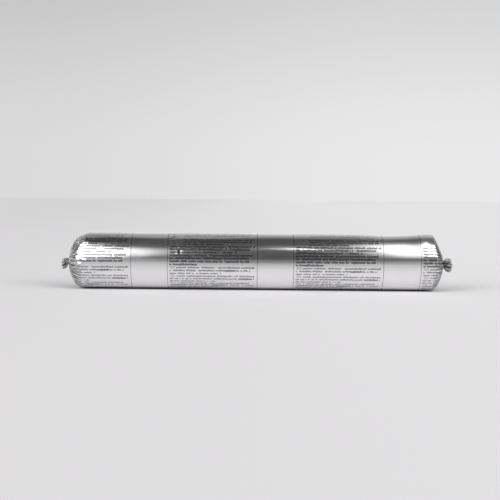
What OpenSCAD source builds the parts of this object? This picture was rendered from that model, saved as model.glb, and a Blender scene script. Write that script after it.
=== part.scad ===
// A foil sausage pack of joint sealant, lying on its side.
// One film tube, gathered and pleated at both ends, with a crimped wire clip round each neck.
// X runs along the pack, Y away from the viewer, and Z up from the surface that it rests on.

/* [Film tube] */
// Diameter of the filled tube
pack_d = 49.4; // [40:0.2:60]
// Length of the filled part, from blunt end to blunt end
fill_l = 323.5; // [220:0.5:400]
// Width of the flat that the soft pack settles on
flat_w = 12; // [8:0.5:18]
// Width of the welded overlap that runs along the back
seam_w = 9; // [5:0.5:14]
// Thickness that the overlap adds
seam_t = 0.3; // [0.1:0.05:0.6]

/* [Blunt ends] */
// Length over which the left end rounds in, on top
left_depth_top = 17; // [8:0.5:24]
// Length over which the left end rounds in, underneath
left_depth_low = 12.5; // [8:0.5:24]
// Length over which the right end rounds in, on top
right_depth_top = 8.5; // [6:0.5:24]
// Length over which the right end rounds in, underneath
right_depth_low = 10.5; // [6:0.5:24]
// Exponent of the left end's curve on top: 1.3 is nearly a cone, 2 is an ellipse, and more is blunter
left_curve_top = 1.75; // [1.3:0.05:3]
// Exponent of the left end's curve underneath
left_curve_low = 1.85; // [1.3:0.05:3]
// Exponent of the left end's curve in front and behind
left_curve_side = 2; // [1.3:0.05:3]
// Exponent of the right end's curve on top
right_curve_top = 1.2; // [1.2:0.05:3]
// Exponent of the right end's curve underneath
right_curve_low = 1.95; // [1.3:0.05:3]
// Exponent of the right end's curve in front and behind
right_curve_side = 2.8; // [1.3:0.05:3]
// Depth of the dimple that the clip sits in
dimple = 0.9; // [0.2:0.1:1.5]

/* [Pleats] */
// Number of pleats round each end
pleats = 32; // [20:2:32]
// Share of the film's surplus that stands up as pleats
pleat_relief = 0.5; // [0.2:0.05:0.7]

/* [Clips] */
// Diameter of the gathered film where the clip holds it
neck_d = 4.8; // [3.5:0.1:6.5]
// Width of the clip's wire, along the pack
wire_w = 1.9; // [1.2:0.1:2.6]
// Thickness of the clip's wire, outward from the neck
wire_t = 1.6; // [1.2:0.1:2.2]
// Depth to which the wire's two tips press into the neck
tip_bite = 0.8; // [0.3:0.1:1]
// Clearance between the film and the clip on every side
clip_gap = 0.15; // [0.05:0.05:0.3]
// Distance of the left neck below the tube's axis
left_neck_drop = 0.5; // [0:0.1:4]
// Distance of the right neck below the tube's axis
right_neck_drop = 0.6; // [0:0.1:4]

/* [Tails] */
// Length of the left tail beyond its clip
left_tail_l = 6; // [4:0.5:12]
// Diameter of the left tail across its folds
left_tail_d = 9.4; // [8:0.2:14]
// Length of the right tail beyond its clip
right_tail_l = 8; // [4:0.5:12]
// Diameter of the right tail across its folds
right_tail_d = 11.4; // [8:0.2:14]
// Distance that the left tail's tip hangs below its neck
left_tail_droop = 2.6; // [0:0.2:4]
// Distance that the right tail's tip hangs below its neck
right_tail_droop = 1.2; // [0:0.2:4]
// Number of folds in each tail
tail_folds = 7; // [5:1:12]
// Depth of a tail's fold, as a share of the tail's radius
fold_share = 0.4; // [0.1:0.02:0.5]

/* [Dents] */
// Depth of the hollow on top, near the right end
hollow_depth = 0.9; // [0:0.1:1.6]
// Distance from the hollow to the right blunt end
hollow_in = 50; // [40:1:70]
// Half length of the hollow
hollow_l = 19; // [10:1:30]
// Height of the swelling next to the right end
swell_h = 0.8; // [0:0.1:1.2]
// Distance from the swelling to the right blunt end
swell_in = 14; // [12:1:24]
// Half length of the swelling
swell_l = 12; // [8:1:16]

/* [Hidden] */

pack_r = pack_d / 2;
neck_r = neck_d / 2;
// The axis is at the height where the round section, cut off at 0, leaves the flat's width.
axis_z = sqrt(pow(pack_r, 2) - pow(flat_w / 2, 2));

// The two ends, left first. A side is the way that its end faces along X.
LEFT = 0;
RIGHT = 1;
ends = [LEFT, RIGHT];
side = [-1, 1];
depth_top = [left_depth_top, right_depth_top];
depth_low = [left_depth_low, right_depth_low];
curve_top = [left_curve_top, right_curve_top];
curve_low = [left_curve_low, right_curve_low];
curve_side = [left_curve_side, right_curve_side];
neck_drop = [left_neck_drop, right_neck_drop];
tail_l = [left_tail_l, right_tail_l];
tail_r = [left_tail_d / 2, right_tail_d / 2];
tail_droop = [left_tail_droop, right_tail_droop];

// The neck is as long as its clip is wide, and starts on the dimple's floor.
neck_l = wire_w + 2 * clip_gap;
floor_r = neck_r + wire_t + 2 * clip_gap;
rim_r = floor_r + dimple;
out_l = [for (e = ends) neck_l - dimple + tail_l[e]];
total_l = fill_l + out_l[LEFT] + out_l[RIGHT];
end_x = [out_l[LEFT] - total_l / 2, total_l / 2 - out_l[RIGHT]];
neck_in_x = [for (e = ends) end_x[e] - side[e] * dimple];
neck_out_x = [for (e = ends) neck_in_x[e] + side[e] * neck_l];

// Angles go round the pack from the front: 90 is the top, 180 the back and 270 underneath.
points_per_pleat = 4;
around = points_per_pleat * pleats;
angles = [for (j = [0:around - 1]) j * 360 / around];
seam_a = 145;
seam_half_a = seam_w / 2 / pack_r * 180 / PI;
seam_edge_a = 3;
tips_a = 20;
bite_half_a = 38;

// Stations along the film, as shares of the end, the tube and the tail
dome_steps = 9;
dome_shares = [for (i = [1:dome_steps]) i / dome_steps];
wide_steps = 5;
fine_steps = 20;
body_shares = concat([for (i = [0:3]) i / wide_steps], [for (i = [13:fine_steps]) i / fine_steps]);
tail_shares = [0, 0.3, 0.65, 1];

function smooth(v) = let (c = min(1, max(0, v))) c * c * (3 - 2 * c);
function bell(v, half) = exp(-pow(v / half, 2));
function turned(a, b) = abs((a - b + 540) % 360 - 180);
function upward(low, top, a) = low + (top - low) * (1 + sin(a)) / 2;

// A share from 0 to 1 that differs from one fold to the next
golden_a = 137.5;
seed_a = 61;
function uneven(i, seed) = (1 + sin(i * golden_a + seed * seed_a)) / 2;

// A point at radius r and angle a about an axis that lies drop lower than the tube's
function at(x, r, a, drop) = [x, -r * cos(a), max(0, axis_z - drop + r * sin(a))];

// What the overlap, the hollow and the swelling add to the tube's radius
function seam(a) = seam_t * smooth((seam_half_a + seam_edge_a - turned(a, seam_a)) / seam_edge_a);
// The hollow keeps to the top, and the swelling reaches further down both sides.
hollow_power = 6;
swell_power = 2;
function on_top(a, power) = pow(max(0, sin(a)), power);
function hollow(x, a) =
    hollow_depth * bell(x - end_x[RIGHT] + hollow_in, hollow_l) * on_top(a, hollow_power);
function swell(x, a) = swell_h * bell(x - end_x[RIGHT] + swell_in, swell_l) * on_top(a, swell_power);
function proud(x, a) = seam(a) + swell(x, a) - hollow(x, a);

// Pleats take up the film's whole width on a smaller circle, so they grow as the radius shrinks.
function pleat_height(r) = PI / (2 * pleats) * sqrt(pow(pack_r, 2) - pow(r, 2));
// Each pleat starts somewhere in the first third of the end, and no two are of one height. Their
// valleys go in deeper than their ridges stand out.
last_start = 0.3;
start_l = 0.3;
least_height = 0.6;
most_height = 1.4;
set_in = 0.6;
function pleat(e, t, r, a) =
    let (
        i = round(a * pleats / 360),
        height = least_height + (most_height - least_height) * uneven(i, e),
        start = last_start * uneven(i, e + 5)
    )
    pleat_relief * height * (cos(pleats * a) - set_in) * pleat_height(r)
    * smooth((t - start) / start_l);

function dome_depth(e, a) = upward(depth_low[e], depth_top[e], a);
function shoulder_x(e, a) = end_x[e] - side[e] * dome_depth(e, a);
// The curve in front and behind gives way quickly to those on top and underneath.
side_power = 6;
function dome_curve(e, a) =
    let (beside = pow(cos(a), side_power))
    (1 - beside) * upward(curve_low[e], curve_top[e], a) + beside * curve_side[e];

// A blunt end at share t of the way from the tube's shoulder to the dimple's rim
function dome_point(e, t, a) =
    let (
        power = 2 / dome_curve(e, a),
        depth = dome_depth(e, a),
        across = pow(cos(90 * t), power),
        r = rim_r + (pack_r - rim_r) * across,
        normal = [pow(sin(90 * t), 2 - power) / depth, pow(cos(90 * t), 2 - power) / pack_r],
        out = normal / norm(normal) * pleat(e, t, r, a)
    )
    at(
        shoulder_x(e, a) + side[e] * (depth * pow(sin(90 * t), power) + out[0]),
        r + out[1] + proud(shoulder_x(e, a), a) * across,
        a,
        neck_drop[e] * smooth(t)
    );

// The dimple's floor: the pleats' ridges lie flush with it, and their valleys run in below the clip.
function floor_point(e, a) =
    at(
        neck_in_x[e] - side[e] * pleat_relief * pleat_height(floor_r) * (1 - cos(pleats * a)) / 2,
        floor_r,
        a,
        neck_drop[e]
    );

// The clip's two tips press a groove along the neck.
function neck_radius(a) = neck_r - tip_bite * bell(turned(a, tips_a), bite_half_a);

// The tube at share t of the way from its left shoulder to its right one
function body_point(t, a) =
    let (x = shoulder_x(LEFT, a) * (1 - t) + shoulder_x(RIGHT, a) * t)
    at(x, pack_r + proud(x, a), a, 0);

// A tail at share t of the way from its clip to its tip, where the folds end unevenly
ragged = 0.14;
first_flare = 0.3;
function flare(t) = t > 0 ? smooth(first_flare + t) : 0;
function tail_point(e, t, a) =
    let (
        folded_r = tail_r[e] / (1 + fold_share),
        r = neck_radius(a) + (folded_r - neck_radius(a)) * flare(t),
        fold = 1 + fold_share * smooth(2 * t) * cos(tail_folds * a),
        short = ragged * t * t * uneven(round(a * tail_folds / 360), e + 3)
    )
    at(
        neck_out_x[e] + side[e] * tail_l[e] * (t - short),
        r * fold,
        a,
        neck_drop[e] + tail_droop[e] * t * (2 - t)
    );

// The open tip of a tail goes in again, to a floor of crumpled film.
hollow_share = 0.45;
tip_depth = 2;
function tip_point(e, a) =
    let (edge = tail_point(e, 1, a), centre_z = axis_z - neck_drop[e] - tail_droop[e])
    [
        neck_out_x[e] + side[e] * (tail_l[e] - tip_depth),
        edge[1] * hollow_share,
        centre_z + (edge[2] - centre_z) * hollow_share
    ];

// All rings of one end, from the shoulder outward
function end_rings(e) =
    concat(
        [for (t = dome_shares) [for (a = angles) dome_point(e, t, a)]],
        [[for (a = angles) floor_point(e, a)]],
        [[for (a = angles) at(neck_in_x[e], neck_radius(a), a, neck_drop[e])]],
        [for (t = tail_shares) [for (a = angles) tail_point(e, t, a)]],
        [[for (a = angles) tip_point(e, a)]]
    );

function reversed(list) = [for (i = [len(list) - 1:-1:0]) list[i]];
function mean(ring) = [for (axis = [0:2]) [for (p = ring) p[axis]] * [for (p = ring) 1] / len(ring)];

// A closed skin over rings that each run clockwise, seen from the last one
module skin(rings) {
    n = len(rings[0]);
    last = len(rings) - 1;
    first_mean = n * len(rings);
    points = concat([for (ring = rings) each ring], [mean(rings[0]), mean(rings[last])]);
    sides = [
        for (i = [0:last - 1], j = [0:n - 1])
        let (k = (j + 1) % n, near = i * n, far = near + n)
        each [[near + j, near + k, far + j], [near + k, far + k, far + j]]
    ];
    caps = [
        for (j = [0:n - 1])
        let (k = (j + 1) % n)
        each [[first_mean, k, j], [first_mean + 1, last * n + j, last * n + k]]
    ];
    polyhedron(points, concat(sides, caps));
}

module film_pack() {
    color("silver")
    skin(concat(
        reversed(end_rings(LEFT)),
        [for (t = body_shares) [for (a = angles) body_point(t, a)]],
        end_rings(RIGHT)
    ));
}

// The clip's wire goes once round the neck, from one tip to the other.
wire_steps = 44;
wire_sides = 12;
tip_gap_a = 9;
tip_round = 0.6;
squareness = 0.75;
function wire_angle(i) = tips_a + tip_gap_a + (360 - 2 * tip_gap_a) * i / wire_steps;
function squared(v) = sign(v) * pow(abs(v), squareness);
function wire_point(e, a, b, size) =
    at(
        neck_in_x[e] + side[e] * neck_l / 2 - size * wire_w / 2 * squared(sin(b)),
        neck_radius(a) + clip_gap + wire_t / 2 * (1 + size * squared(cos(b))),
        a,
        neck_drop[e]
    );

module clip(e) {
    color([0.66, 0.67, 0.69])
    skin([
        for (i = [0:wire_steps])
        let (size = i == 0 || i == wire_steps ? tip_round : 1)
        [for (k = [0:wire_sides - 1]) wire_point(e, wire_angle(i), k * 360 / wire_sides, size)]
    ]);
}

module left_clip() {
    clip(LEFT);
}

module right_clip() {
    clip(RIGHT);
}

film_pack();
left_clip();
right_clip();
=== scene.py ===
import math

import bpy
import numpy as np
from mathutils import Matrix, Vector


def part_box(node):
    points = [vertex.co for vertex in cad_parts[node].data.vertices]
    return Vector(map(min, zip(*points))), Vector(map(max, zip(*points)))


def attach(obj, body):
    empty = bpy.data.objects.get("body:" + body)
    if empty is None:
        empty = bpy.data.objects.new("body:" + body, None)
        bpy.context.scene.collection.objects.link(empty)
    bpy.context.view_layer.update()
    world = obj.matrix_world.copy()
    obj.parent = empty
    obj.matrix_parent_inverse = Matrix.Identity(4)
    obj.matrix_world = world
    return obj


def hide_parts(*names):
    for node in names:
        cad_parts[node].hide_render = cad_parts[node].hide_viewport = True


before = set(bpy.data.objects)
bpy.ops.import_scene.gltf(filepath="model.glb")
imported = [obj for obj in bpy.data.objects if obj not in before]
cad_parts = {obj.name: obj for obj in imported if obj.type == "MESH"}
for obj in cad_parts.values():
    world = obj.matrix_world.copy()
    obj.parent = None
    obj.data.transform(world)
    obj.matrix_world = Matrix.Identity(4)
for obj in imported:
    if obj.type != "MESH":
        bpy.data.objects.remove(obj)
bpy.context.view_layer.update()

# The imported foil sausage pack, dressed: folded film with its print, crimped clips, floor and light.
# Geometry is worked out in millimetres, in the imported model's frame, and stored in metres.
# Angles go round the pack from the front: a quarter turn is the top, and a half turn the back.
MM = 0.001

# Sizes that the solids have
PACK_R = 24.7
FLAT_W = 12.0
AXIS_Z = math.sqrt(PACK_R**2 - (FLAT_W / 2) ** 2)
NECK_R = 2.4
TIP_BITE = 0.8
TIPS_A = math.radians(20)
BITE_HALF_A = math.radians(38)
WIRE_T = 1.6
TIP_GAP_A = math.radians(9)
TIP_ROUND = 0.6
SQUARENESS = 0.75
CLIP_GAP = 0.15
DIMPLE = 0.9
SEAM_W = 9.0
SEAM_T = 0.3
SEAM_A = math.radians(145)
PLEATS = 32
PLEAT_RELIEF = 0.5
SET_IN = 0.6
SIDE_POWER = 6
TAIL_FOLDS = 7
FOLD_SHARE = 0.4
RAGGED = 0.14

# The two ends, left first. A side is the way that its end faces along X.
LEFT, RIGHT = 0, 1
ENDS = (LEFT, RIGHT)
SIDE = (-1, 1)
CLIP_NODES = ("left_clip", "right_clip")
DEPTH_TOP = (17.0, 8.5)
DEPTH_LOW = (12.5, 10.5)
CURVE_TOP = (1.75, 1.2)
CURVE_LOW = (1.85, 1.95)
CURVE_SIDE = (2.0, 2.8)
NECK_DROP = (0.5, 0.6)
TAIL_R = (4.7, 5.7)
TAIL_DROOP = (2.6, 1.2)


def in_mm(corner):
    return [value / MM for value in corner]


film_lo, film_hi = (in_mm(corner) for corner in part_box("film_pack"))
clip_boxes = [[in_mm(corner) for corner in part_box(node)] for node in CLIP_NODES]
WIRE_W = clip_boxes[LEFT][1][0] - clip_boxes[LEFT][0][0]
NECK_L = WIRE_W + 2 * CLIP_GAP
CLIP_X = [(box[0][0] + box[1][0]) / 2 for box in clip_boxes]
NECK_IN_X = [CLIP_X[e] - SIDE[e] * NECK_L / 2 for e in ENDS]
NECK_OUT_X = [CLIP_X[e] + SIDE[e] * NECK_L / 2 for e in ENDS]
END_X = [NECK_IN_X[e] + SIDE[e] * DIMPLE for e in ENDS]
TAIL_L = [NECK_OUT_X[LEFT] - film_lo[0], film_hi[0] - NECK_OUT_X[RIGHT]]
FLOOR_R = NECK_R + WIRE_T + 2 * CLIP_GAP
RIM_R = FLOOR_R + DIMPLE

# The hollow and the swelling: place along the pack, half length, and how closely they keep to the top
HOLLOW = {"depth": 0.9, "x": END_X[RIGHT] - 50, "half": 19, "power": 6}
SWELL = {"height": 0.8, "x": END_X[RIGHT] - 14, "half": 12, "power": 2}

AROUND = 384
ANGLES = np.arange(AROUND) * 2 * math.pi / AROUND


def smooth(v):
    v = np.clip(v, 0, 1)
    return v * v * (3 - 2 * v)


def bell(v, half):
    return np.exp(-((v / half) ** 2))


def turned(a, b):
    return np.abs((a - b + math.pi) % (2 * math.pi) - math.pi)


def upward(low, top, a):
    return low + (top - low) * (1 + np.sin(a)) / 2


def uneven(i, seed):
    """A share from 0 to 1 that differs from one fold to the next, the same as the solids have."""
    return (1 + np.sin(np.radians(i * 137.5 + seed * 61))) / 2


def waves(x, a, seed, count, length):
    """Slow unevenness of about -1 to 1: waves of different lengths along the pack and round it."""
    total = 0
    for k in range(count):
        turns = 1 + (k * 3 + seed) % 5
        along = (0.6 + 0.8 * uneven(k, seed)) / length
        total = total + np.sin(turns * a + 2 * math.pi * along * x + 7.1 * k + 2.3 * seed)
    return total / math.sqrt(count) / 1.5


def creases(x, a, seed, count, most_turns, pitch):
    """Crumpled foil of about -1 to 1: flat facets between straight folds that cross in all directions."""
    total = 0
    for k in range(count):
        lean = uneven(k, seed) * 2 - 1
        turns = round(most_turns * lean) or 1
        along = (1 - 0.7 * abs(lean)) / pitch
        phase = turns * a / (2 * math.pi) + along * x + 0.37 * k + 0.21 * seed
        total = total + 4 * np.abs(phase % 1 - 0.5) - 1
    return total / math.sqrt(count)


# How far the ridge and the valley of a fold are rounded where it isn't sharp at all
FOLD_ROUND = 0.16


def fold_wave(phase, sharp):
    """A fold's section from -1 in the valley to 1 on the ridge, at whole numbers of phase."""
    away = 2 * np.abs((phase + 0.5) % 1 - 0.5)
    round_off = FOLD_ROUND * (1 - sharp)
    return 1 - 2 * (np.sqrt(away**2 + round_off**2) - round_off) / (math.sqrt(1 + round_off**2) - round_off)


def mesh_object(name, points, faces, uv_maps, material, painted_shade=None):
    """A mesh piece in metres, with smooth shading. painted_shade is the shade painted into the folds, 1
    where a fold is deepest.
    """
    mesh = bpy.data.meshes.new(name)
    mesh.from_pydata((np.asarray(points) * MM).tolist(), [], faces)
    for map_name, values in uv_maps.items():
        layer = mesh.uv_layers.new(name=map_name)
        layer.data.foreach_set("uv", np.asarray(values, np.float32).ravel())
    if painted_shade is not None:
        mesh.attributes.new("painted_shade", "FLOAT", "POINT").data.foreach_set("value", np.asarray(painted_shade, np.float32))
    mesh.shade_smooth()
    mesh.materials.append(material)
    mesh.update()
    piece = bpy.data.objects.new(name, mesh)
    bpy.context.scene.collection.objects.link(piece)
    return piece


def loft(name, rings, maps, material, painted_shades=None):
    """A closed skin over rings of equal size, with a fan at each end. maps gives each map's value per ring
    and column, with one column more than the ring has points, where the skin closes."""
    count, size = len(rings), len(rings[0])
    points = np.concatenate([np.concatenate(rings), [rings[0].mean(0), rings[-1].mean(0)]])
    faces, corners = [], []
    for i in range(count - 1):
        for j in range(size):
            k = (j + 1) % size
            faces.append((i * size + j, (i + 1) * size + j, (i + 1) * size + k, i * size + k))
            corners += [(i, j), (i + 1, j), (i + 1, j + 1), (i, j + 1)]
    for j in range(size):
        k = (j + 1) % size
        faces.append((count * size, j, k))
        corners += [(0, j), (0, j), (0, j + 1)]
        last = (count - 1) * size
        faces.append((count * size + 1, last + k, last + j))
        corners += [(count - 1, j), (count - 1, j + 1), (count - 1, j)]
    ring_at, column_at = np.array(corners).T
    uv_maps = {key: value[ring_at, column_at] for key, value in maps.items()}
    # The fans' middle points get full painted shade.
    painted_shade = None if painted_shades is None else np.concatenate([np.concatenate(painted_shades), [1, 1]])
    return mesh_object(name, points, faces, uv_maps, material, painted_shade)


# The film: its form is that of the solid, with finer folds


def at(x, r, a, drop):
    """Points at radius r and angle a about an axis that lies drop lower than the tube's."""
    height = AXIS_Z - drop + r * np.sin(a)
    return np.stack([np.broadcast_to(x, a.shape), -r * np.cos(a), np.maximum(height, 0)], -1)


# Angle over which the welded overlap's edge steps up
SEAM_EDGE_A = math.radians(1.5)


def on_top(a, power):
    return np.maximum(0, np.sin(a)) ** power


def proud(x, a):
    """What the overlap, the hollow and the swelling add to the tube's radius."""
    seam_half = SEAM_W / 2 / PACK_R
    seam = SEAM_T * smooth((seam_half + SEAM_EDGE_A - turned(a, SEAM_A)) / SEAM_EDGE_A)
    hollow = HOLLOW["depth"] * bell(x - HOLLOW["x"], HOLLOW["half"]) * on_top(a, HOLLOW["power"])
    swell = SWELL["height"] * bell(x - SWELL["x"], SWELL["half"]) * on_top(a, SWELL["power"])
    return seam + swell - hollow


def pleat_height(r):
    return math.pi / (2 * PLEATS) * np.sqrt(np.maximum(0, PACK_R**2 - r**2))


def dome_depth(e, a):
    return upward(DEPTH_LOW[e], DEPTH_TOP[e], a)


def shoulder_x(e, a):
    return END_X[e] - SIDE[e] * dome_depth(e, a)


def dome_curve(e, a):
    beside = np.cos(a) ** SIDE_POWER
    return (1 - beside) * upward(CURVE_LOW[e], CURVE_TOP[e], a) + beside * CURVE_SIDE[e]


# How far a pleat strays to the side, in pleats, on a long wave and on a short one
PLEAT_STRAY = (0.16, 0.1)
# A pleat starts between two shares of the way from the shoulder to the rim, and grows over a third share
PLEAT_START = (-0.06, 0.24)
PLEAT_RISE = 0.3
# Height, as the sine of the angle, from which a point counts as above, and over which it fully does
ABOVE_FROM, ABOVE_OVER = -0.25, 0.4
# How much nearer the middle the pleats start on top
LATE_ABOVE = (0.25, 0.0)
# The lowest and the highest pleat, as shares of the usual height
PLEAT_SIZE = (0.6, 1.4)
# Finer gathers near the shoulder: how many there are for each pleat, how high they are, the share over
# which they rise, and the share at which they end and over which they fade
FINE_PER_PLEAT = 2.5
FINE_SIZE = 0.32
FINE_RISE = 0.12
FINE_END, FINE_OVER = 0.85, 0.4
# How sharp the folds of the pleats and of the finer gathers are
PLEAT_SHARP = 0.75
FINE_SHARP = 0.6
# Painted shade in the pleats' valleys: where it begins, underneath and above, and how strong it is; and the
# same for the fine gathers, how strong it is underneath and above
PLEAT_SHADE = ((0.12, 0.38, 0.85), (0.08, 0.12, 0.9))
FINE_SHADE = ((0.6, 0.25), (0.6, 0.8))
# How narrow the painted dark line in a valley is, how much wider it gets above, and how narrow it is in the
# finer gathers
VALLEY_POWER = 2.2
VALLEY_WIDER = (0.9, 0.0)
FINE_VALLEY_POWER = 1.5


def pleats(e, t, r, a):
    """Height of the gathers, and the shade painted into their valleys. There is a ridge per pleat, not
    quite straight, with finer gathers near the shoulder."""
    long_stray, short_stray = PLEAT_STRAY
    stray = long_stray * np.sin(5 * a + 2.2 * t + e) + short_stray * np.sin(11 * a - 7 * t + 2 * e)
    phase = PLEATS * a / (2 * math.pi) + stray
    i = np.round(phase) % PLEATS
    above = smooth((np.sin(a) - ABOVE_FROM) / ABOVE_OVER)
    late = LATE_ABOVE[e] * above
    first, last = PLEAT_START
    start = first + (last - first) * uneven(i, e + 5) + late
    smallest, largest = PLEAT_SIZE
    size = (smallest + (largest - smallest) * uneven(i, e)) * smooth((t - start) / PLEAT_RISE)
    wave = fold_wave(phase, PLEAT_SHARP)
    fine_phase = FINE_PER_PLEAT * PLEATS * a / (2 * math.pi) + 0.3 * np.sin(7 * a + 5 * t)
    fine_wave = fold_wave(fine_phase, FINE_SHARP)
    fine_cover = smooth((t - late) / FINE_RISE) * smooth((FINE_END - t) / FINE_OVER)
    begin, begin_above, strength = PLEAT_SHADE[e]
    begin = begin + (begin_above - begin) * above
    power = VALLEY_POWER - VALLEY_WIDER[e] * above
    painted_shade = strength * ((1 - wave) / 2) ** power * smooth((t - begin) / 0.2)
    low, high = FINE_SHADE[e]
    fine_painted_shade = (low + (high - low) * above) * ((1 - fine_wave) / 2) ** FINE_VALLEY_POWER * fine_cover
    folds = size * (wave - SET_IN) + FINE_SIZE * fine_wave * fine_cover
    return PLEAT_RELIEF * pleat_height(r) * folds, np.maximum(painted_shade, fine_painted_shade)


# Crumples round an end: height of the coarse and of the fine ones, how far along the tube they reach and
# over which length they fade out there, and the length over which both fade out at the rim
COARSE_CREASE = (0.14, 0.06)
FINE_CREASE = (0.05, 0.05)
COARSE_REACH, COARSE_FADE = 3, 9
FINE_REACH, FINE_FADE = 5, 6
RIM_FADE = 4
# How far the coarse crumples are sunk in, as a share of their height
CREASE_SUNK = 0.8


def end_creases(e, x, a):
    """Crumples of the stiff film round the shoulder, which die out along the tube."""
    inward = (shoulder_x(e, a) - x) * SIDE[e]
    cover = smooth((COARSE_REACH - inward) / COARSE_FADE) * smooth((inward + dome_depth(e, a)) / RIM_FADE)
    coarse = COARSE_CREASE[e] * (creases(x, a, seed=3 + e, count=8, most_turns=30, pitch=8) - CREASE_SUNK)
    fine = FINE_CREASE[e] * creases(x, a, seed=9 + e, count=7, most_turns=40, pitch=3)
    return cover * (coarse + fine * smooth((FINE_REACH - inward) / FINE_FADE))


# Small dents: place along the pack, place round it, half sizes and depth, which is below 0 for a bump
DENTS = (
    (-65.6, math.radians(22.5), 1.2, math.radians(3.4), 0.06),
    (-67.9, math.radians(20.5), 0.9, math.radians(2.4), -0.05),
    (-66.2, math.radians(33.5), 0.9, math.radians(2.4), -0.06),
    (-101.0, math.radians(17), 5.0, math.radians(8), 0.02),
)
# A crease across the top: place along the pack on top, how far it runs back lower down, half width, depth
# and the angles that it spans
CREASE = {
    "x": -105.5, "back": 6.5, "half": 2.2, "depth": 0.14, "low": math.radians(52), "top": math.radians(96),
}
# Share of the crease's length over which it fades at each end
CREASE_FADE = 0.3
# Crumpled patches: place along the pack, place round it, half sizes and height
PATCHES = (
    (-154.5, math.radians(52), 3.0, math.radians(9), 0.3),
    (-72.6, math.radians(64), 2.7, math.radians(12), 0.22),
)
# How strong the shade painted into the patches' folds is
PATCH_SHADE = 0.75
SLOW_WAVE = 0.1


def patches(x, a):
    """Height of the small crumples that handling pressed in, and the shade painted into their folds."""
    folds = creases(x, a, seed=5, count=6, most_turns=60, pitch=3.0)
    total, painted_shade = 0, 0
    for patch_x, patch_a, half_x, half_a, height in PATCHES:
        cover = bell(np.hypot((x - patch_x) / half_x, (a - patch_a) / half_a), 1.0)
        total = total + height * cover * folds
        painted_shade = painted_shade + PATCH_SHADE * cover * smooth(-folds - 0.1)
    return total, painted_shade


def body_relief(x, a):
    """Slow waves of the filled tube and its few small dents."""
    relief = SLOW_WAVE * waves(x, a, seed=1, count=7, length=120)
    for dent_x, dent_a, half_x, half_a, depth in DENTS:
        relief = relief - depth * bell(np.hypot((x - dent_x) / half_x, (a - dent_a) / half_a), 1.0)
    down = (CREASE["top"] - a) / (CREASE["top"] - CREASE["low"])
    reach = smooth(down / CREASE_FADE) * smooth((1 - down) / CREASE_FADE)
    return relief - CREASE["depth"] * reach * bell(x - CREASE["x"] + CREASE["back"] * down, CREASE["half"])


def dome_rings(e, shares):
    """A blunt end's rings, how far each point is from the shoulder along the film, and the shade painted
    into its folds.
    """
    rings, lengths, painted_shades = [], [], []
    before, length = None, np.zeros(AROUND)
    a = ANGLES
    power = 2 / dome_curve(e, a)
    depth = dome_depth(e, a)
    base_x = shoulder_x(e, a)
    base_relief = proud(base_x, a) + body_relief(base_x, a)
    for t in shares:
        inward, outward = math.cos(math.pi / 2 * t), math.sin(math.pi / 2 * t)
        r = RIM_R + (PACK_R - RIM_R) * inward**power
        normal = np.stack([outward ** (2 - power) / depth, inward ** (2 - power) / PACK_R])
        normal /= np.hypot(*normal)
        x = base_x + SIDE[e] * depth * outward**power
        height, painted_shade = pleats(e, t, r, a)
        patch_height, patch_painted_shade = patches(x, a)
        height = height + end_creases(e, x, a) + patch_height
        r_out = r + normal[1] * height + base_relief * inward**power
        here = np.stack([x, r])
        if before is not None:
            length = length + np.hypot(*(here - before))
        before = here
        lengths.append(length)
        painted_shades.append(np.maximum(painted_shade, patch_painted_shade))
        rings.append(at(x + SIDE[e] * normal[0] * height, r_out, a, NECK_DROP[e] * smooth(t)))
    return rings, np.stack(lengths), painted_shades


def neck_radius(a):
    """The clip's two tips press a groove along the neck."""
    return NECK_R - TIP_BITE * bell(turned(a, TIPS_A), BITE_HALF_A)


# The shade painted on the dimple's wall, at its rim and at its floor, and on the neck
WALL_SHADE = (0.3, 0.8)
NECK_SHADE = 0.9


def dimple_rings(e):
    """The dimple's wall and floor, and the neck that the clip holds."""
    a = ANGLES
    wave = fold_wave(PLEATS * a / (2 * math.pi), 0.5)
    valley = PLEAT_RELIEF * pleat_height(FLOOR_R) * (1 - wave) / 2
    rings, painted_shades = [], []
    for share in (0.35, 0.7, 1):
        r = RIM_R + (FLOOR_R - RIM_R) * share
        x = END_X[e] - SIDE[e] * (DIMPLE * smooth(share) + valley * share)
        rings.append(at(x, r, a, NECK_DROP[e]))
        painted_shades.append(np.full(AROUND, WALL_SHADE[0] + (WALL_SHADE[1] - WALL_SHADE[0]) * share))
    for share in (0.5, 1):
        r = FLOOR_R + (neck_radius(a) - FLOOR_R) * share
        rings.append(at(NECK_IN_X[e] - SIDE[e] * valley * (1 - share), r, a, NECK_DROP[e]))
        painted_shades.append(np.full(AROUND, NECK_SHADE))
    for share in (0.33, 0.67):
        rings.append(at(NECK_IN_X[e] + SIDE[e] * NECK_L * share, neck_radius(a), a, NECK_DROP[e]))
        painted_shades.append(np.full(AROUND, NECK_SHADE))
    return rings, painted_shades


FILM_T = 0.22
LEAST_R = 0.3
# The tail's open tip goes in again to this share of its length, where it has this share of its radius.
INNER_SHARE = 0.62
CLOSED_SHARE = 0.35
# How far on in its flare a tail starts, and the share of its length over which it comes out of the clip
FIRST_FLARE = 0.3
CLIP_SHARE = 0.1
# How far a tail's folds stray to the side, in folds, on a long wave and on a short one
TAIL_STRAY = (0.12, 0.06)
# The shallowest and the deepest fold of a tail, as shares of the usual depth, and the crumples on them
TAIL_FOLD_SIZE = (0.8, 1.2)
TAIL_CRUMPLE = 0.05
TAIL_LEAN = 0.16
# The shade painted on the tails at their ridges and in their valleys, how much of it goes at the cut edge,
# and the share of it that is left underneath
TAIL_SHADE = ((0.8, 0.6), (0.45, 0.98))
TAIL_RIM = (0.12, 0.6)
TAIL_LOW_SHADE = (0.68, 1.0)
# The shade painted on a tail next to its clip and inside its open tip
TAIL_DEEP_SHADE = 0.95


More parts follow.
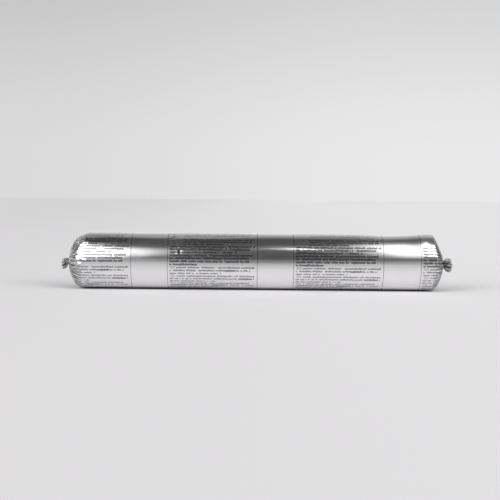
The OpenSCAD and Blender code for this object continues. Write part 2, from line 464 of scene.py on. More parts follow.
def tail_section(e, t, inner):
    """A tail's radii, its points' angles, the share that its cut edge falls short by, and the shade painted
    on it.
    """
    a = ANGLES
    folded_r = TAIL_R[e] / (1 + FOLD_SHARE)
    flare = smooth(FIRST_FLARE + t) * smooth(t / CLIP_SHARE)
    r = neck_radius(a) + (folded_r - neck_radius(a)) * flare
    long_stray, short_stray = TAIL_STRAY
    stray = long_stray * np.sin(3 * a + 2 * t + e) + short_stray * np.sin(7 * a - 3 * t)
    phase = TAIL_FOLDS * a / (2 * math.pi) + stray * t
    i = np.round(phase) % TAIL_FOLDS
    wave = fold_wave(phase, 0.7)
    least, most = TAIL_FOLD_SIZE
    deep = FOLD_SHARE * (least + (most - least) * uneven(i, e + 1)) * smooth(2 * t)
    fine = TAIL_CRUMPLE * smooth(3 * t) * fold_wave(3 * phase + 0.2, 0.5)
    r = r * (1 + deep * wave + fine)
    lean = TAIL_LEAN * t * np.sin(2 * math.pi * phase + 0.8)
    short = RAGGED * t * t * uneven(i, e + 3)
    on_ridge, in_valley = TAIL_SHADE[e]
    rim = (1 - TAIL_RIM[e] * smooth((t - 0.7) / 0.3)) * upward(TAIL_LOW_SHADE[e], 1, a)
    painted_shade = (on_ridge + (in_valley - on_ridge) * ((1 - wave) / 2) ** 1.1) * rim
    painted_shade = np.maximum(painted_shade, TAIL_DEEP_SHADE * (1 - smooth(t / 0.15)))
    if inner:
        r = np.maximum(r - FILM_T, LEAST_R)
        painted_shade = np.maximum(painted_shade, TAIL_DEEP_SHADE * smooth((1 - t) / (1 - INNER_SHARE)))
    return r, a + lean, short, painted_shade


def tail_rings(e):
    """A tail's rings out to its cut edge and in again, and the shade painted on them."""
    outer = np.linspace(0, 1, 16)
    inner = np.linspace(1, INNER_SHARE, 6)
    rings, painted_shades = [], []
    for is_inner, shares in ((False, outer), (True, inner)):
        for t in shares:
            r, a, short, painted_shade = tail_section(e, t, is_inner)
            opened = smooth((t - INNER_SHARE) / 0.2) if is_inner else 1
            r = r * (CLOSED_SHARE + (1 - CLOSED_SHARE) * opened)
            x = NECK_OUT_X[e] + SIDE[e] * TAIL_L[e] * (t - short)
            rings.append(at(x, r, a, NECK_DROP[e] + TAIL_DROOP[e] * t * (2 - t)))
            painted_shades.append(painted_shade)
    return rings, painted_shades


DOME_SHARES = np.linspace(0, 1, 44)
# Distance between the tube's rings, and by how much less it is near the ends, the dents and the crease
RING_PITCH = 6.2
CLOSER_AT_ENDS = 5.2
CLOSER_AT_DENTS = 5.75
CLOSER_AT_CREASE = 5.2
# Where the dents and the crease lie, and how far from them and from the ends the rings are closer
DENTS_X, DENTS_REACH = -69, 8
CREASE_X, CREASE_REACH = -108.0, 6
ENDS_REACH = 14


def tube_stations():
    """Shares of the way along the tube, close together at its shoulders, the dents and the crease."""
    share, stations = 0.0, []
    start = shoulder_x(LEFT, math.pi)
    length = shoulder_x(RIGHT, math.pi) - start
    while share < 1:
        stations.append(share)
        x = start + share * length
        closer = CLOSER_AT_ENDS * float(bell(min(share, 1 - share) * length, ENDS_REACH))
        closer += CLOSER_AT_DENTS * float(smooth((DENTS_REACH - abs(x - DENTS_X)) / 2))
        closer += CLOSER_AT_CREASE * float(bell(x - CREASE_X, CREASE_REACH))
        share += (RING_PITCH - closer) / length
    return np.array(stations[1:])


def end_part(e):
    """An end's rings from its shoulder outward, each point's place along the flat film, and the shade
    painted on it.
    """
    dome, dome_length, dome_painted_shades = dome_rings(e, DOME_SHARES)
    dimple, dimple_painted_shades = dimple_rings(e)
    tail, tail_painted_shades = tail_rings(e)
    beyond = dimple + tail
    steps = np.linalg.norm(np.diff(np.stack([dome[-1]] + beyond), axis=0), axis=-1).mean(-1)
    beyond_length = dome_length[-1] + np.cumsum(steps)[:, None]
    places = shoulder_x(e, ANGLES) + SIDE[e] * np.concatenate([dome_length, beyond_length])
    return dome + beyond, list(places), dome_painted_shades + dimple_painted_shades + tail_painted_shades


def film_rings():
    """All rings of the film from left to right, each point's place along the flat film, and the shade
    painted on it.
    """
    rings, places, painted_shades = (list(reversed(part)) for part in end_part(LEFT))
    right_rings, right_places, right_painted_shades = end_part(RIGHT)
    for share in tube_stations():
        x = shoulder_x(LEFT, ANGLES) * (1 - share) + shoulder_x(RIGHT, ANGLES) * share
        patch_height, patch_painted_shade = patches(x, ANGLES)
        relief = body_relief(x, ANGLES) + patch_height
        relief = relief + end_creases(LEFT, x, ANGLES) + end_creases(RIGHT, x, ANGLES)
        rings.append(at(x, PACK_R + proud(x, ANGLES) + relief, ANGLES, 0))
        places.append(x)
        painted_shades.append(patch_painted_shade)
    return rings + right_rings, np.array(places + right_places), painted_shades + right_painted_shades


def film_piece(material):
    rings, places, painted_shades = film_rings()
    places = np.concatenate([places, places[:, :1]], 1)
    columns = np.arange(AROUND + 1) / AROUND
    round_film = np.broadcast_to(columns * 2 * math.pi * PACK_R, places.shape)
    on_film = np.stack([places, round_film], -1)
    middle = places.mean(1)
    share_along = (middle - middle[0]) / (middle[-1] - middle[0])
    baked = np.stack(np.meshgrid(share_along, columns, indexing="ij"), -1)
    maps = {"OFBake": baked[..., ::-1], "film": on_film}
    return loft("foil_film", rings, maps, material, painted_shades)


# The clips

WIRE_STEPS = 132
WIRE_SIDES = 24
ROUNDED_STEPS = 6


def clip_piece(e, material):
    """The solid's crimped wire with rounder sides, rounded tips and a finer outline."""
    rings = []
    b = np.arange(WIRE_SIDES) * 2 * math.pi / WIRE_SIDES
    outward, along = [np.sign(v) * np.abs(v) ** SQUARENESS for v in (np.cos(b), np.sin(b))]
    for i in range(WIRE_STEPS + 1):
        a = TIPS_A + TIP_GAP_A + (2 * math.pi - 2 * TIP_GAP_A) * i / WIRE_STEPS
        from_tip = min(1, min(i, WIRE_STEPS - i) / ROUNDED_STEPS)
        size = TIP_ROUND + (1 - TIP_ROUND) * math.sqrt(1 - (1 - from_tip) ** 2)
        x = CLIP_X[e] - size * WIRE_W / 2 * along
        r = neck_radius(a) + CLIP_GAP + WIRE_T / 2 + size * WIRE_T / 2 * outward
        rings.append(at(x, r, np.full(WIRE_SIDES, a), NECK_DROP[e]))
    share_along = np.linspace(0, 1, WIRE_STEPS + 1)
    grid = np.stack(np.meshgrid(share_along, np.arange(WIRE_SIDES + 1) / WIRE_SIDES, indexing="ij"), -1)
    return loft(CLIP_NODES[e] + "_wire", rings, {"OFBake": grid}, material)


# Materials


class Graph:
    """Short calls that add nodes to a tree and link them."""

    def __init__(self, tree):
        self.tree = tree
        tree.nodes.clear()

    def node(self, kind, inputs=None, **settings):
        made = self.tree.nodes.new(kind)
        for key, value in settings.items():
            setattr(made, key, value)
        for key, value in (inputs or {}).items():
            self.put(made.inputs[key], value)
        return made

    def put(self, socket, value):
        if isinstance(value, bpy.types.NodeSocket):
            self.tree.links.new(value, socket)
        else:
            socket.default_value = value

    def math(self, operation, *values):
        made = self.node("ShaderNodeMath", operation=operation)
        for socket, value in zip(made.inputs, values):
            self.put(socket, value)
        return made.outputs[0]

    def step(self, value, low, high):
        """0 below low and 1 above high, smooth between."""
        made = self.node("ShaderNodeMapRange", interpolation_type="SMOOTHSTEP")
        for key, given in (("Value", value), ("From Min", low), ("From Max", high)):
            self.put(made.inputs[key], given)
        return made.outputs["Result"]

    def blend(self, share, first, second):
        """The colour or number first at share 0 and second at share 1."""
        kind = "RGBA" if any(isinstance(v, tuple) or is_colour(v) for v in (first, second)) else "FLOAT"
        made = self.node("ShaderNodeMix", data_type=kind)
        sockets = [s for s in made.inputs if s.enabled]
        self.put(sockets[0], share)
        self.put(sockets[1], first)
        self.put(sockets[2], second)
        return next(s for s in made.outputs if s.enabled)


def is_colour(value):
    return isinstance(value, bpy.types.NodeSocket) and value.type == "RGBA"


def new_material(name):
    material = bpy.data.materials.new(name)
    material.use_nodes = True
    return material, Graph(material.node_tree)


def any_of(g, masks):
    total = masks[0]
    for mask in masks[1:]:
        total = g.math("MAXIMUM", total, mask)
    return total


def all_of(g, masks):
    total = masks[0]
    for mask in masks[1:]:
        total = g.math("MULTIPLY", total, mask)
    return total


def between(g, value, low, high):
    return all_of(g, [g.math("GREATER_THAN", value, low), g.math("LESS_THAN", value, high)])


def chance(g, x, y, seed):
    made = g.node("ShaderNodeCombineXYZ", {"X": x, "Y": y, "Z": float(seed)})
    noise = g.node("ShaderNodeTexWhiteNoise", {"Vector": made.outputs[0]}, noise_dimensions="3D")
    return noise.outputs["Value"]


# The print, in millimetres along the film and round it from the front. The block repeats along the film.
BLOCK_STARTS = (-184.2, -76.4, 31.4, 140.1)
BLOCK_W = 76.7
MARGIN = 1.7
BORDER_W = 0.42
ROWS = 59
ROW_PITCH = 2 * math.pi * PACK_R / ROWS
ROW_CENTRE = -1.2
LETTER_W = 0.94
# Rows count upward from the headline, which is row 0. A bold stretch is a row, and its start and end
# as shares of the block's width.
BOLD = ((0, 0.0, 0.34), (2, 0.54, 0.98), (4, 0.5, 0.77), (5, 0.58, 0.72), (-2, 0.63, 0.75),
        (-5, 0.77, 0.97), (-8, 0.5, 0.67), (8, 0.3, 0.62), (11, 0.55, 0.9), (-11, 0.2, 0.5), (17, 0.1, 0.6),
        (21, 0.45, 0.8), (26, 0.05, 0.4), (31, 0.6, 0.95), (36, 0.2, 0.55))
# Rows that end early, as shares of the block's width
ROW_ENDS = ((0, 0.34), (1, 0.91), (4, 0.77), (7, 0.62), (-3, 0.6), (-6, 0.53), (-9, 0.57), (-12, 0.66))
# The other rows end between these shares, and every fifth row that is far from the headline ends early
ROW_END = (0.9, 0.98)
FAR_ROW = 12.5
EARLY_END = 0.35
# Rows that start late, beside a bare field: the middle one, how many there are on each side, and the share
# at which they start
BARE_ROWS = (9.5, 2.6)
BARE_W = 0.17
# Below the headline, a paragraph has three rows, and its first row starts at this share, behind a small box
PARAGRAPH_ROWS = 3.0
FIRST_WORD = 0.1
# The small box: its middle, in millimetres along the row, half its width, and half its height as a share of
# the row's, the same for its hole, the box's ink, and how much less of it the hole has
BOX_U = 4.4
BOX_HALF = (1.9, 0.36)
HOLE_HALF = (1.6, 0.25)
BOX_INK = 0.8
HOLE_PALER = 0.75
# Heavy rows, just above the headline, the ink of light rows and of heavy ones, and the share of it that the
# rows further up have
HEAVY_ROWS = (0.5, 9.5)
ROW_INK = (0.9, 1.0)
UPPER_INK = 0.55
# The share of the cells that are word spaces, and of a cell that is bare at each side, in light rows and in
# heavy ones
WORD_SPACE = (0.15, 0.08)
LETTER_SIDE = (0.08, 0.04)
# As shares of a row's height: a letter's lower edge in light and in heavy rows, its upper edge, how much
# higher that is in heavy rows and on tall letters, and how much lower a hanging letter reaches
LETTER_LOW = (0.24, 0.18)
LETTER_TOP = 0.68
HEAVY_RISE = 0.06
TALL_RISE = 0.16
HANG = 0.13
# A letter is tall from the first of these chances up, and hangs below the second.
TALL_FROM = 0.72
HANG_BELOW = 0.12
# Where the left end turns away, these rows fade out between these places along the film: painted glare that
# hides the print there
GLARE_HIDDEN_ROWS = (-0.5, 9.5)
GLARE_HIDDEN_FROM_TO = (-150.0, -163.0)


def block_places(g, u):
    """Whether a place along the film is in a block, how far from the block's start, and the borders."""
    inside, borders, local = [], [], 0.0
    for start in BLOCK_STARTS:
        here = between(g, u, start, start + BLOCK_W)
        inside.append(here)
        local = g.math("ADD", local, g.math("MULTIPLY", here, g.math("SUBTRACT", u, start)))
        for edge in (start, start + BLOCK_W):
            away = g.math("ABSOLUTE", g.math("SUBTRACT", u, edge))
            borders.append(g.math("LESS_THAN", away, BORDER_W / 2))
    return any_of(g, inside), local, any_of(g, borders)


def is_every(g, row, count, which):
    return g.math("COMPARE", g.math("FLOORED_MODULO", row, count), which, 0.1)


def row_span(g, row, is_row, first_row):
    """Where a row starts and ends, as shares of the block's width."""
    earliest, latest = ROW_END
    end = g.math("ADD", earliest, g.math("MULTIPLY", chance(g, 0.0, row, 3), latest - earliest))
    far = g.math("GREATER_THAN", g.math("ABSOLUTE", row), FAR_ROW)
    early = all_of(g, [is_every(g, row, 5.0, 2.0), far])
    end = g.math("SUBTRACT", end, g.math("MULTIPLY", early, EARLY_END))
    for n, row_end in ROW_ENDS:
        end = g.blend(is_row[n], end, row_end)
    start = g.blend(first_row, MARGIN / BLOCK_W, FIRST_WORD)
    return g.blend(g.math("COMPARE", row, *BARE_ROWS), start, BARE_W), end


def letters(g, row, in_row, local, heavy):
    """Plain bars for letters. A word space is a cell without one."""
    cell_place = g.math("DIVIDE", local, LETTER_W)
    cell = g.math("FLOOR", cell_place)
    in_cell = g.math("SUBTRACT", cell_place, cell)
    filled = g.math("GREATER_THAN", chance(g, cell, row, 0), g.blend(heavy, *WORD_SPACE))
    side = g.blend(heavy, *LETTER_SIDE)
    bar = between(g, in_cell, side, g.math("SUBTRACT", 1.0, side))
    kind = chance(g, cell, row, 7)
    tall = g.math("MULTIPLY", g.math("GREATER_THAN", kind, TALL_FROM), TALL_RISE)
    top = g.math("ADD", g.math("ADD", LETTER_TOP, tall), g.math("MULTIPLY", heavy, HEAVY_RISE))
    hang = g.math("MULTIPLY", g.math("LESS_THAN", kind, HANG_BELOW), HANG)
    low = g.math("SUBTRACT", g.blend(heavy, *LETTER_LOW), hang)
    return all_of(g, [filled, bar, between(g, in_row, low, top)])


def paragraph_box(g, local, in_row):
    """The small framed box at a paragraph's start."""
    away_u = g.math("ABSOLUTE", g.math("SUBTRACT", local, BOX_U))
    away_v = g.math("ABSOLUTE", g.math("SUBTRACT", in_row, 0.5))
    box, hole = (
        all_of(g, [g.math("LESS_THAN", away_u, half_u), g.math("LESS_THAN", away_v, half_v)])
        for half_u, half_v in (BOX_HALF, HOLE_HALF)
    )
    return g.math("MULTIPLY", g.math("SUBTRACT", box, g.math("MULTIPLY", hole, HOLE_PALER)), BOX_INK)


def print_mask(g, u, v):
    """How much ink covers a point of the film: rows of greeked words in framed blocks."""
    row_place = g.math("ADD", g.math("DIVIDE", g.math("SUBTRACT", v, ROW_CENTRE), ROW_PITCH), 0.5)
    row = g.math("FLOOR", row_place)
    in_row = g.math("SUBTRACT", row_place, row)
    in_block, local, borders = block_places(g, u)
    share = g.math("DIVIDE", local, BLOCK_W)
    is_row = {n: g.math("COMPARE", row, float(n), 0.1) for n in sorted({r[0] for r in BOLD + ROW_ENDS})}
    bold = any_of(g, [all_of(g, [is_row[n], between(g, share, low, high)]) for n, low, high in BOLD])
    heavy = g.math("MAXIMUM", bold, between(g, row, *HEAVY_ROWS))
    first_row = all_of(g, [g.math("LESS_THAN", row, -0.5), is_every(g, row, PARAGRAPH_ROWS, 2.0)])
    start, end = row_span(g, row, is_row, first_row)
    in_line = all_of(g, [between(g, share, start, end), in_block])
    light_ink, heavy_ink = ROW_INK
    ink = g.blend(bold, g.blend(heavy, light_ink, heavy_ink), 1.0)
    ink = g.math("MULTIPLY", ink, g.blend(g.math("GREATER_THAN", row, HEAVY_ROWS[1]), 1.0, UPPER_INK))
    # Painted glare: the print fades out where the left end turns away
    glare_hidden = g.math("MULTIPLY", between(g, row, *GLARE_HIDDEN_ROWS), g.step(u, *GLARE_HIDDEN_FROM_TO))
    words = all_of(g, [letters(g, row, in_row, local, heavy), in_line, ink, g.math("SUBTRACT", 1.0, glare_hidden)])
    box = g.math("MULTIPLY", paragraph_box(g, local, in_row), first_row)
    return any_of(g, [words, box, borders])


INK = (0.2, 0.195, 0.205, 1)
INK_DULL = 0.08
FOIL = (0.87, 0.868, 0.872, 1)
# Painted shade: the dark colour that the film's folds, dimples, necks and tails are darkened towards
PAINTED_SHADE_COLOUR = (0.05, 0.05, 0.053, 1)
FOIL_DRAWN = 0.5
DRAWN_TURN = 0.25
MOTTLE = {"Scale": 60.0, "Detail": 4.0}
CRINKLE = {"Scale": 700.0, "Detail": 3.0}
CRINKLE_BUMP = {"Strength": 0.08, "Distance": 0.00004}
# The foil's roughness, and what its mottle, the ink and the painted fold shade add to it
FOIL_ROUGH = 0.102
MOTTLE_ROUGH = 0.04
INK_ROUGH = 0.02
PAINTED_SHADE_ROUGH = 0.55


def foil_material():
    """Laminate foil, whose drawn lines spread its shine round the tube, with grey print on top and shade
    painted into its folds.
    """
    material, g = new_material("printed_foil")
    place = g.node("ShaderNodeUVMap", uv_map="film").outputs[0]
    apart = g.node("ShaderNodeSeparateXYZ", {"Vector": place})
    u, v = apart.outputs["X"], apart.outputs["Y"]
    # The last quarter of the way round lies below the front.
    round_film = 2 * math.pi * PACK_R
    v = g.math("SUBTRACT", v, g.math("MULTIPLY", g.math("GREATER_THAN", v, round_film * 0.75), round_film))
    ink = print_mask(g, u, v)
    solid = g.node("ShaderNodeTexCoord").outputs["Object"]
    mottle = g.node("ShaderNodeTexNoise", {"Vector": solid, **MOTTLE}).outputs[0]
    crinkle = g.node("ShaderNodeTexNoise", {"Vector": solid, **CRINKLE}).outputs[0]
    # Painted shade: how far the film darkens towards the shade colour in its folds, dimples, necks and
    # tails
    painted_shade = g.node("ShaderNodeAttribute", attribute_name="painted_shade").outputs["Fac"]
    rough = FOIL_ROUGH
    for layer, amount in ((mottle, MOTTLE_ROUGH), (ink, INK_ROUGH), (painted_shade, PAINTED_SHADE_ROUGH)):
        rough = g.math("ADD", rough, g.math("MULTIPLY", layer, amount))
    bump = g.node("ShaderNodeBump", {"Height": crinkle, **CRINKLE_BUMP})
    along_film = g.node("ShaderNodeTangent", direction_type="UV_MAP", uv_map="film")
    shader = g.node("ShaderNodeBsdfPrincipled", {
        "Base Color": g.blend(painted_shade, g.blend(ink, FOIL, INK), PAINTED_SHADE_COLOUR),
        "Metallic": g.math("SUBTRACT", 1.0, g.math("MULTIPLY", ink, INK_DULL)),
        "Roughness": rough,
        "Anisotropic": FOIL_DRAWN,
        "Anisotropic Rotation": DRAWN_TURN,
        "Normal": bump.outputs[0],
        "Tangent": along_film.outputs[0],
    })
    g.node("ShaderNodeOutputMaterial", {"Surface": shader.outputs[0]})
    return material


WIRE_DARK = (0.5, 0.5, 0.52, 1)
WIRE_PALE = (0.78, 0.78, 0.8, 1)
WIRE_SPOTS = {"Scale": 1500.0, "Detail": 3.0}
SPOT_BUMP = {"Strength": 0.25, "Distance": 0.00005}
# The wire's roughness, and what its spots add to it
WIRE_ROUGH = 0.28
SPOT_ROUGH = 0.22


def clip_material():
    """Drawn aluminium wire: satin, with fine spots that are paler and rougher."""
    material, g = new_material("clip_aluminium")
    solid = g.node("ShaderNodeTexCoord").outputs["Object"]
    spots = g.node("ShaderNodeTexNoise", {"Vector": solid, **WIRE_SPOTS}).outputs[0]
    bump = g.node("ShaderNodeBump", {"Height": spots, **SPOT_BUMP})
    shader = g.node("ShaderNodeBsdfPrincipled", {
        "Base Color": g.blend(spots, WIRE_DARK, WIRE_PALE),
        "Metallic": 1.0,
        "Roughness": g.math("ADD", WIRE_ROUGH, g.math("MULTIPLY", spots, SPOT_ROUGH)),
        "Normal": bump.outputs[0],
    })
    g.node("ShaderNodeOutputMaterial", {"Surface": shader.outputs[0]})
    return material


foil = foil_material()
film = film_piece(foil)
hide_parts("film_pack")
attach(film, "root")

wire = clip_material()
for end in ENDS:
    clip = clip_piece(end, wire)
    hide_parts(CLIP_NODES[end])
    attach(clip, "root")


# The studio, in metres: a pale floor, and soft light from all round

FLOOR_REACH = 6.0
FLOOR_COLOUR = (0.806, 0.794, 0.806, 1)
# Painted shade: the share of its colour that the floor has on the left, where it is darker,
# and between which places it changes
LEFT_SHARE = 0.855
LEFT_TO = (-0.7, 0.35)
# The painted shadow underneath fades out between these distances from the middle, towards the ends and the
# sides, and leaves the floor this share of its colour. Mirrored in the foil, it is narrower and darker.
UNDER_ENDS = (0.144, 0.156)
UNDER_SIDES = (0.008, 0.016)
UNDER_SHARE = 0.35
MIRRORED_SIDES = (0.0068, 0.0118)
MIRRORED_SHARE = 0.08
# Mirrored in the foil, the floor has painted shade in front of the pack: it darkens from one distance on,
# half of the way over the next, and by these shares in the middle and past the ends of it
DARK_FROM, DARK_HALF = 0.05, 0.15
DARK_SHARES = (0.65, 0.36)
DARK_MIDDLE_X = 0.015
DARK_ENDS = (0.05, 0.15)


def floor_share(g, x, y):
    """The share of its colour that the floor shows: less where a shadow is painted underneath and, in the
    foil, where shade is painted far in front.
    """
    ahead = g.math("MAXIMUM", g.math("SUBTRACT", g.math("MULTIPLY", y, -1.0), DARK_FROM), 0.0)
    far = g.math("DIVIDE", ahead, g.math("ADD", ahead, DARK_HALF))
    aside = g.step(g.math("ABSOLUTE", g.math("SUBTRACT", x, DARK_MIDDLE_X)), *DARK_ENDS)
    ahead_share = g.math("SUBTRACT", 1.0, g.math("MULTIPLY", far, g.blend(aside, *DARK_SHARES)))
    across = g.math("ABSOLUTE", y)
    beyond = g.step(g.math("ABSOLUTE", x), *UNDER_ENDS)
    painted_contact_shadow = g.blend(g.math("MAXIMUM", g.step(across, *MIRRORED_SIDES), beyond), MIRRORED_SHARE, 1.0)
    painted_shadow = g.blend(g.math("MAXIMUM", g.step(across, *UNDER_SIDES), beyond), UNDER_SHARE, 1.0)
    seen = g.node("ShaderNodeLightPath").outputs["Is Glossy Ray"]
    return g.blend(seen, painted_shadow, g.math("MULTIPLY", ahead_share, painted_contact_shadow))


def floor_piece():
    reach = FLOOR_REACH
    mesh = bpy.data.meshes.new("floor")
    corners = [(-reach, -reach, 0), (reach, -reach, 0), (reach, reach, 0), (-reach, reach, 0)]
    mesh.from_pydata(corners, [], [(0, 1, 2, 3)])
    material, g = new_material("floor_paper")
    place = g.node("ShaderNodeTexCoord").outputs["Object"]
    apart = g.node("ShaderNodeSeparateXYZ", {"Vector": place})
    x, y = apart.outputs["X"], apart.outputs["Y"]
    painted_left_shade_colour = tuple(value * LEFT_SHARE for value in FLOOR_COLOUR[:3]) + (1,)
    colour = g.blend(g.step(x, *LEFT_TO), painted_left_shade_colour, FLOOR_COLOUR)
    # Painted shadow and shade: the floor darkens towards black underneath the pack and, in the foil, in
    # front of it
    colour = g.blend(floor_share(g, x, y), (0, 0, 0, 1), colour)
    shader = g.node("ShaderNodeBsdfDiffuse", {"Color": colour})
    g.node("ShaderNodeOutputMaterial", {"Surface": shader.outputs[0]})
    mesh.materials.append(material)
    made = bpy.data.objects.new("floor", mesh)
    bpy.context.scene.collection.objects.link(made)


# What the foil mirrors. A direction has a lift, its angle in degrees from level in front up over the top to
# level behind, and a place aside, its X for each unit of its length across X.
# A slanted limit is a place aside, the lift there, its slope, and its least and most lift.
# The left softbox: its upper limit is the highest of three
LEFT_LOW = (-0.11, 23.5, 215.0, 9.0, 40.0)
LEFT_TOPS = ((-0.13, 57.0, -160.0, 40.0, 60.0), (-0.13, 56.0, -400.0, 40.0, 79.0),
             (-0.32, 79.0, -110.0, 40.0, 93.0))
LEFT_BOX = {"near": -2.0, "far": -0.083, "soft_lift": 11.0, "soft_aside": 0.03}
# The right softbox: its upper limit is the lower of two
RIGHT_LOW = (0.117, 57.0, -640.0, 28.0, 90.0)
RIGHT_TOPS = ((0.12, 83.1, 357.0, 75.5, 90.0), (0.149, 90.0, -950.0, 74.0, 90.0))
RIGHT_BOX = {"near": 0.11, "far": 1.2, "soft_lift": 11.0, "soft_aside": 0.022}
# A faint glow round the right softbox
HALO_LOW = 40.0
HALO_TOP = (0.149, 102.0, -950.0, 86.0, 102.0)
HALO_BOX = {"near": 0.112, "far": 0.25, "soft_lift": 14.0, "soft_aside": 0.022}
# A small bright lamp in the middle, and the faint band that it lies in
SPOT_LOW = (0.04, 56.5, -260.0, 46.0, 60.0)
SPOT_HEIGHT = 3.4
SPOT_BOX = {"near": 0.035, "far": 0.064, "soft_lift": 3.0, "soft_aside": 0.013}
BAND_LIFTS = (61.0, 72.0)
BAND_BOX = {"near": 0.016, "far": 0.12, "soft_lift": 4.0, "soft_aside": 0.015}
# The pale shelf behind: its lower limit is the higher of two, and no higher than a third
SHELF_LOWS = ((-0.02, 106.5, 400.0, 106.5, 113.0), (-0.08, 106.5, -240.0, 106.5, 116.0))
SHELF_LEFT = (-0.144, 114.0, 1150.0, 101.0, 125.0)
SHELF_TOP = 150.0
SHELF_BOX = {"near": -0.2, "far": 0.104, "soft_lift": 10.0, "soft_aside": 0.012}
# The lit panels beside the two ends, how far to the side they start, and where they end behind
LEFT_PANEL = {"low": 0.03, "high": 0.42, "front": -0.12}
RIGHT_PANEL = {"low": 0.14, "high": 0.5, "front": -1.2}
PANEL_FROM = (0.8, 0.88)
PANEL_BEHIND = (0.16, 0.06)
# Levels. Some change from one level to another, between two places aside.
LEFT_CHANGE, LEFT_LEVELS = (-0.165, -0.108), (3.2, 1.17)
RIGHT_CHANGE, RIGHT_LEVELS = (0.12, 0.16), (1.5, 3.2)
SHELF_CHANGE, SHELF_LEVELS = (-0.02, 0.02), (0.36, 0.27)
HALO_LEVEL = 0.4
BAND_LEVEL = 0.27
SPOT_LEVEL = 6.5
PANEL_LEVELS = (1.25, 0.7)
# The dark room: its level on the left, in the middle and on the right, the places aside between which it
# changes, the lifts over which it gets paler behind, and its level there
ROOM_LEFT, ROOM_MIDDLE, ROOM_RIGHT = 0.055, 0.078, 0.14
ROOM_CHANGES = ((-0.16, -0.1), (0.06, 0.14))
BEHIND_LIFTS = (110.0, 178.0)
BEHIND_LEVEL = 1.05
# Beside the ends: its level low down in front, low down behind and high up, and in a gap on the left
BESIDE_FROM = (0.28, 0.5)
BESIDE_FRONT, BESIDE_BEHIND, BESIDE_HIGH = 0.09, 0.4, 0.34
GAP_LEVEL = 0.04
# The horizon's level in the middle and off it, and the lift at which it ends
HORIZON_LEVELS = (0.26, 0.44)
HORIZON_LIFT = 25.0


def softbox(g, lift, aside, low, high, near, far, soft_lift, soft_aside):
    """A softbox's share of a direction: between two lifts and two places aside, with soft edges."""
    above = g.step(g.math("SUBTRACT", lift, low), -soft_lift, soft_lift)
    below = g.step(g.math("SUBTRACT", high, lift), -soft_lift, soft_lift)
    after = g.step(g.math("SUBTRACT", aside, near), -soft_aside, soft_aside)
    until = g.step(g.math("SUBTRACT", far, aside), -soft_aside, soft_aside)
    return g.math("MULTIPLY", g.math("MULTIPLY", above, below), g.math("MULTIPLY", after, until))


def slanted(g, aside, at_place, value, slope, least, most):
    """A limit that is value at a place aside and changes by slope from there, kept between two ends."""
    line = g.math("ADD", value, g.math("MULTIPLY", g.math("SUBTRACT", aside, at_place), slope))
    return g.math("MAXIMUM", g.math("MINIMUM", line, most), least)


def limit_of(g, aside, operation, lines):
    """The highest or the lowest of several slanted limits."""
    limit = slanted(g, aside, *lines[0])
    for line in lines[1:]:
        limit = g.math(operation, limit, slanted(g, aside, *line))
    return limit


def side_panel(g, toward, y, z, low, high, front):
    """A lit panel beside the pack's end, between two heights, from a place in front to just behind it."""
    height = g.math("MULTIPLY", g.step(z, low, low + 0.05), g.step(z, high + 0.06, high))
    depth = g.math("MULTIPLY", g.step(y, *PANEL_BEHIND), g.step(y, front, front + 0.1))
    return all_of(g, [g.step(toward, *PANEL_FROM), depth, height])


def room_glow(g, lift, aside, x, y, z):
    """The dark room round the softboxes: paler behind, at the horizon and beside the ends."""
    left_change, right_change = ROOM_CHANGES
    dark = g.blend(g.step(aside, *right_change), ROOM_MIDDLE, ROOM_RIGHT)
    dark = g.blend(g.step(aside, *left_change), ROOM_LEFT, dark)
    ramp = g.node("ShaderNodeMapRange", {
        "Value": lift,
        "From Min": BEHIND_LIFTS[0],
        "From Max": BEHIND_LIFTS[1],
        "To Min": dark,
        "To Max": BEHIND_LEVEL,
    })
    beside = g.blend(g.step(y, 0.25, 0.6), BESIDE_FRONT, BESIDE_BEHIND)
    beside = g.blend(g.step(z, 0.35, 0.7), beside, BESIDE_HIGH)
    left_gap = g.math("MULTIPLY", g.step(x, -0.5, -0.7), g.step(y, 0.02, -0.12))
    beside = g.blend(left_gap, beside, GAP_LEVEL)
    glow = g.blend(g.step(g.math("ABSOLUTE", x), *BESIDE_FROM), ramp.outputs["Result"], beside)
    off_middle = g.step(g.math("ABSOLUTE", g.math("SUBTRACT", aside, 0.02)), 0.05, 0.14)
    horizon = g.blend(g.step(lift, 0.0, HORIZON_LIFT), g.blend(off_middle, *HORIZON_LEVELS), 0.0)
    return g.math("MAXIMUM", glow, horizon)


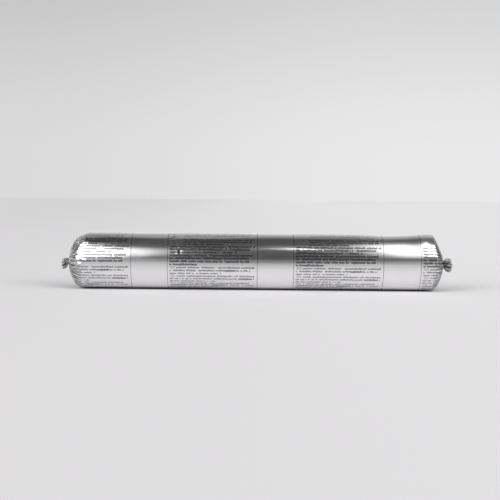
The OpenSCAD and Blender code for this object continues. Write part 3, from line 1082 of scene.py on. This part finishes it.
def mirrored_light(g, lift, aside, x, y, z):
    """What the foil reflects: a dark room, softboxes left and right in front, and the shelf behind."""
    left_top = limit_of(g, aside, "MAXIMUM", LEFT_TOPS)
    left = softbox(g, lift, aside, slanted(g, aside, *LEFT_LOW), left_top, **LEFT_BOX)
    right_top = limit_of(g, aside, "MINIMUM", RIGHT_TOPS)
    right = softbox(g, lift, aside, slanted(g, aside, *RIGHT_LOW), right_top, **RIGHT_BOX)
    halo = softbox(g, lift, aside, HALO_LOW, slanted(g, aside, *HALO_TOP), **HALO_BOX)
    band = softbox(g, lift, aside, *BAND_LIFTS, **BAND_BOX)
    spot_low = slanted(g, aside, *SPOT_LOW)
    spot = softbox(g, lift, aside, spot_low, g.math("ADD", spot_low, SPOT_HEIGHT), **SPOT_BOX)
    shelf_low = limit_of(g, aside, "MAXIMUM", SHELF_LOWS)
    shelf_low = g.math("MINIMUM", shelf_low, slanted(g, aside, *SHELF_LEFT))
    shelf = softbox(g, lift, aside, shelf_low, SHELF_TOP, **SHELF_BOX)
    lit = (
        (left, g.blend(g.step(aside, *LEFT_CHANGE), *LEFT_LEVELS)),
        (right, g.blend(g.step(aside, *RIGHT_CHANGE), *RIGHT_LEVELS)),
        (shelf, g.blend(g.step(aside, *SHELF_CHANGE), *SHELF_LEVELS)),
        (halo, HALO_LEVEL),
        (band, BAND_LEVEL),
        (spot, SPOT_LEVEL),
        (side_panel(g, g.math("MULTIPLY", x, -1.0), y, z, **LEFT_PANEL), PANEL_LEVELS[LEFT]),
        (side_panel(g, x, y, z, **RIGHT_PANEL), PANEL_LEVELS[RIGHT]),
    )
    glow = room_glow(g, lift, aside, x, y, z)
    for share, level in lit:
        glow = g.math("MAXIMUM", glow, g.math("MULTIPLY", share, level))
    return glow


# The backdrop's level on the left and on the right, the places aside between which it changes, the share of
# it that is left high up, and the heights between which that changes
BACKDROP_LEVELS = (0.7, 0.815)
BACKDROP_CHANGE = (-0.25, 0.16)
HIGH_SHARE = 0.74
HIGH_CHANGE = (0.02, 0.24)
# The even light's level, and its shares in front and behind
EVEN_LIGHT = 0.72
EVEN_SHARES = (1.42, 0.5)


def world_light():
    """Camera rays see a pale backdrop, diffuse rays an even light, and glossy rays the softboxes."""
    world = bpy.data.worlds.new("studio")
    world.use_nodes = True
    bpy.context.scene.world = world
    g = Graph(world.node_tree)
    direction = g.node("ShaderNodeTexCoord").outputs["Generated"]
    x, y, z = g.node("ShaderNodeSeparateXYZ", {"Vector": direction}).outputs
    lift = g.math("DEGREES", g.math("ARCTAN2", z, g.math("MULTIPLY", y, -1.0)))
    upright = g.math("SQRT", g.math("ADD", g.math("MULTIPLY", y, y), g.math("MULTIPLY", z, z)))
    aside = g.math("DIVIDE", x, g.math("MAXIMUM", upright, 0.001))
    backdrop = g.blend(g.step(aside, *BACKDROP_CHANGE), *BACKDROP_LEVELS)
    backdrop = g.math("MULTIPLY", backdrop, g.blend(g.step(z, *HIGH_CHANGE), 1.0, HIGH_SHARE))
    seen = g.node("ShaderNodeLightPath")
    even = g.math("MULTIPLY", EVEN_LIGHT, g.blend(g.step(y, -0.7, 0.7), *EVEN_SHARES))
    level = g.blend(seen.outputs["Is Glossy Ray"], even, mirrored_light(g, lift, aside, x, y, z))
    level = g.blend(seen.outputs["Is Camera Ray"], level, backdrop)
    shader = g.node("ShaderNodeBackground", {"Color": (1, 1, 1, 1), "Strength": level})
    g.node("ShaderNodeOutputWorld", {"Surface": shader.outputs[0]})


SUN_POWER = 1.08
SUN_WIDTH = math.radians(36)
SUNS = {"left_sun": (-0.75, -0.65, 0.44), "right_sun": (0.75, -0.65, 0.44)}


def soft_sun(name, place):
    light = bpy.data.lights.new(name, "SUN")
    light.energy = SUN_POWER
    light.angle = SUN_WIDTH
    lamp = bpy.data.objects.new(name, light)
    lamp.rotation_euler = Vector(place).to_track_quat("Z", "Y").to_euler()
    lamp.visible_glossy = False
    bpy.context.scene.collection.objects.link(lamp)


CAMERA_DISTANCE = 0.95
CAMERA_RISE = math.radians(4)
CAMERA_X = -0.006
AIM_ABOVE_AXIS = 0.01015
FRAME_W = 0.437
ROLL = math.radians(0.5)
SENSOR_W = 36


def camera():
    data = bpy.data.cameras.new("camera")
    data.sensor_width = SENSOR_W
    data.lens = SENSOR_W * CAMERA_DISTANCE / FRAME_W
    made = bpy.data.objects.new("camera", data)
    axis = Vector((CAMERA_X, 0, AXIS_Z * MM))
    back = Vector((0, -math.cos(CAMERA_RISE), math.sin(CAMERA_RISE)))
    made.location = axis + back * CAMERA_DISTANCE
    aim = axis + Vector((0, 0, AIM_ABOVE_AXIS))
    look = (aim - made.location).to_track_quat("-Z", "Y")
    made.rotation_euler = (look.to_matrix() @ Matrix.Rotation(ROLL, 3, "Z")).to_euler()
    bpy.context.scene.collection.objects.link(made)
    bpy.context.scene.camera = made


floor_piece()
world_light()
for name, place in SUNS.items():
    soft_sun(name, place)
camera()
bpy.context.scene.view_settings.view_transform = "Standard"
